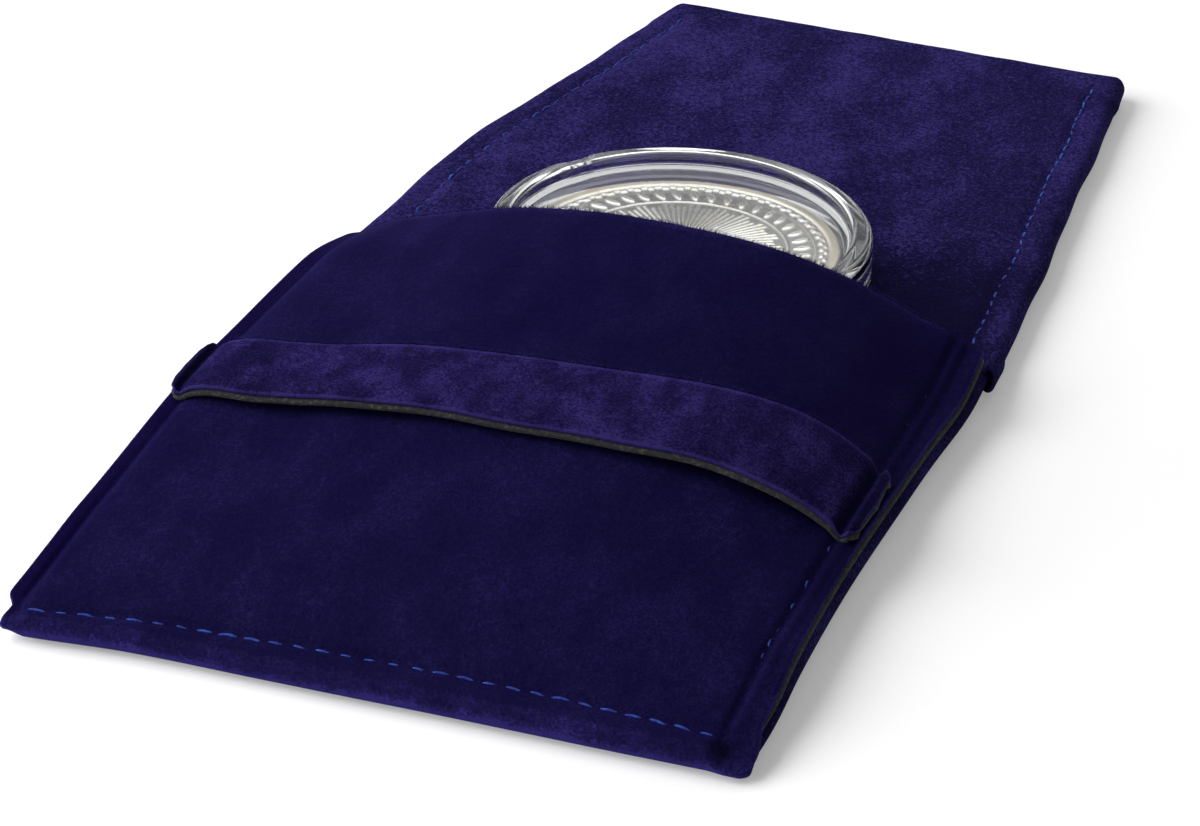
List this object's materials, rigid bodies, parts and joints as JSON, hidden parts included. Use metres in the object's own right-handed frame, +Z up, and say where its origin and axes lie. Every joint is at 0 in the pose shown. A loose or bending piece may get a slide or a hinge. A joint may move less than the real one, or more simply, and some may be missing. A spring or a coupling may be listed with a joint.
{
  "type": "coin pouch",
  "caption": "Open velvet coin pouch: stitched pocket with an arched mouth, a front strap, a fold-over flap on a soft hinge, and a clear round capsule that holds a coin.",
  "frame": {"origin": "middle of the pouch's outline, on the surface that it lies on", "axes": "+Z up, +Y from the bottom fold to the end of the flap, +X across the pouch"},
  "size_m": [0.08, 0.1784, 0.0146],
  "materials": {
    "velvet_dark": "dark indigo velvet pile",
    "velvet_light": "indigo velvet pile, brushed and mottled",
    "felt": "dark grey felt, cut edge",
    "board": "stiff pressed felt core",
    "thread": "blue polyester thread",
    "clear_plastic": "clear polished acrylic",
    "silver": "bright struck silver"
  },
  "bodies": {
    "pouch": {"back_cover": "velvet_dark", "back_board": "board", "back_lining": "velvet_light", "front_cover": "velvet_dark", "front_felt": "felt", "strap_velvet": "velvet_light", "strap_felt": "felt", "strap_tacks": "thread", "bottom_stitching": "thread", "left_stitching": "thread", "right_stitching": "thread", "hinge_cover": "velvet_dark", "hinge_lining": "velvet_light", "hinge_stitching": "thread"},
    "flap": {"flap_cover": "velvet_dark", "flap_board": "board", "flap_lining": "velvet_light", "flap_left_stitching": "thread", "flap_right_stitching": "thread"},
    "capsule": {"capsule_base": "clear_plastic", "capsule_lid": "clear_plastic", "coin": "silver"}
  },
  "joints": [
    {"name": "flap_fold", "type": "hinge", "parent": "pouch", "child": "flap", "pos_m": [0, 0.02475, 0.0091], "axis": [1, 0, 0], "range_deg": [0, 180], "deforming": ["hinge_cover", "hinge_lining", "hinge_stitching"]},
    {"name": "capsule_slide", "type": "slide", "parent": "pouch", "child": "capsule", "axis": [0, -1, 0], "range_m": [-0.06, 0.01]}
  ]
}
